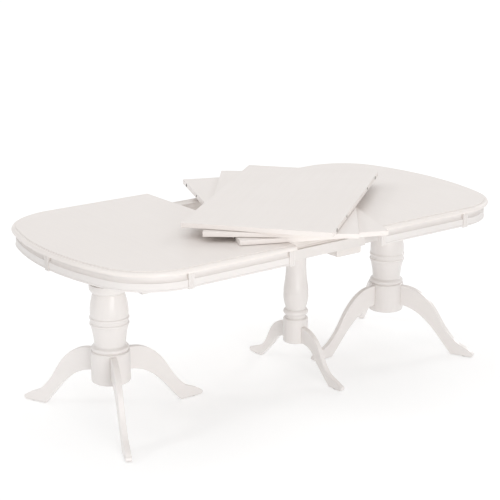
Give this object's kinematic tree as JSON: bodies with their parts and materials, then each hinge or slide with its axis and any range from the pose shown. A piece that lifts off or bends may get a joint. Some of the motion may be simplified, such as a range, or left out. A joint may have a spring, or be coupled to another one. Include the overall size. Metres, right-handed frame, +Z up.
{
  "type": "extension dining table",
  "caption": "Pedestal extension dining table drawn half open, its loose full-width leaves fanned on a swivel post over the opening.",
  "frame": {"origin": "on the floor, under the middle of the whole object's box; X = 0 is the middle of the opening", "axes": "+X along the table towards the half whose inner edge carries the dowels, +Z up; the long centre line lies 45.7 mm to +Y of the origin"},
  "size_m": [2.06, 1.2396, 0.821],
  "materials": {
    "top_lacquer": "satin ivory lacquer over wood, faint grain",
    "leaf_lacquer": "satin ivory lacquer over wood, faint grain",
    "apron_lacquer": "satin ivory lacquer over moulded wood",
    "turned_lacquer": "satin ivory lacquer over turned wood",
    "leg_lacquer": "satin ivory lacquer over sawn wood",
    "frame_lacquer": "thin ivory lacquer over wood",
    "slide_wood": "waxed pale hardwood",
    "dowel_beech": "bare beech",
    "post_steel": "zinc-plated steel",
    "slip_ring": "white nylon",
    "glide_nylon": "brown nylon and felt"
  },
  "bodies": {
    "centre_frame": {"middle_column": "turned_lacquer", "middle_leg_front": "leg_lacquer", "middle_leg_rear": "leg_lacquer", "middle_glides": "glide_nylon", "middle_bearer": "frame_lacquer", "swivel_beam": "frame_lacquer", "swivel_post": "post_steel", "centre_slide_front": "slide_wood", "centre_slide_rear": "slide_wood"},
    "left_half": {"left_top": "top_lacquer", "left_apron_front": "apron_lacquer", "left_apron_rear": "apron_lacquer", "left_curve_front": "apron_lacquer", "left_curve_rear": "apron_lacquer", "left_corner_block_front": "apron_lacquer", "left_corner_block_rear": "apron_lacquer", "left_side_block_front": "apron_lacquer", "left_side_block_rear": "apron_lacquer", "left_end_block": "apron_lacquer", "left_slide_front": "slide_wood", "left_slide_rear": "slide_wood", "left_column": "turned_lacquer", "left_leg_inner": "leg_lacquer", "left_leg_front": "leg_lacquer", "left_leg_rear": "leg_lacquer", "left_glides": "glide_nylon", "left_cradle_plate": "frame_lacquer", "left_cradle_cheek_front": "frame_lacquer", "left_cradle_cheek_rear": "frame_lacquer"},
    "right_half": {"right_top": "top_lacquer", "right_apron_front": "apron_lacquer", "right_apron_rear": "apron_lacquer", "right_curve_front": "apron_lacquer", "right_curve_rear": "apron_lacquer", "right_corner_block_front": "apron_lacquer", "right_corner_block_rear": "apron_lacquer", "right_side_block_front": "apron_lacquer", "right_side_block_rear": "apron_lacquer", "right_end_block": "apron_lacquer", "right_slide_front": "slide_wood", "right_slide_rear": "slide_wood", "right_column": "turned_lacquer", "right_leg_inner": "leg_lacquer", "right_leg_front": "leg_lacquer", "right_leg_rear": "leg_lacquer", "right_glides": "glide_nylon", "right_cradle_plate": "frame_lacquer", "right_cradle_cheek_front": "frame_lacquer", "right_cradle_cheek_rear": "frame_lacquer", "right_dowels": "dowel_beech"},
    "leaf_low": {"leaf_low": "leaf_lacquer", "leaf_low_ring": "slip_ring"},
    "leaf_middle": {"leaf_middle": "leaf_lacquer", "leaf_middle_ring": "slip_ring"},
    "leaf_top": {"leaf_top": "leaf_lacquer", "leaf_top_ring": "slip_ring"}
  },
  "joints": [
    {"name": "left_half_slide", "type": "slide", "parent": "centre_frame", "child": "left_half", "axis": [-1, 0, 0], "range_m": [-0.18, 0.49]},
    {"name": "right_half_slide", "type": "slide", "parent": "centre_frame", "child": "right_half", "axis": [1, 0, 0], "range_m": [-0.047, 0.86]},
    {"name": "leaf_low_swivel", "type": "hinge", "parent": "centre_frame", "child": "leaf_low", "pos_m": [-0.019, -0.02728, 0.759], "axis": [0, 0, 1], "range_deg": [-67.2, 112.8]},
    {"name": "leaf_middle_swivel", "type": "hinge", "parent": "centre_frame", "child": "leaf_middle", "pos_m": [-0.019, -0.02728, 0.78], "axis": [0, 0, 1], "range_deg": [-50, 130]},
    {"name": "leaf_top_swivel", "type": "hinge", "parent": "centre_frame", "child": "leaf_top", "pos_m": [-0.019, -0.02728, 0.801], "axis": [0, 0, 1], "range_deg": [-38.4, 141.6]}
  ]
}
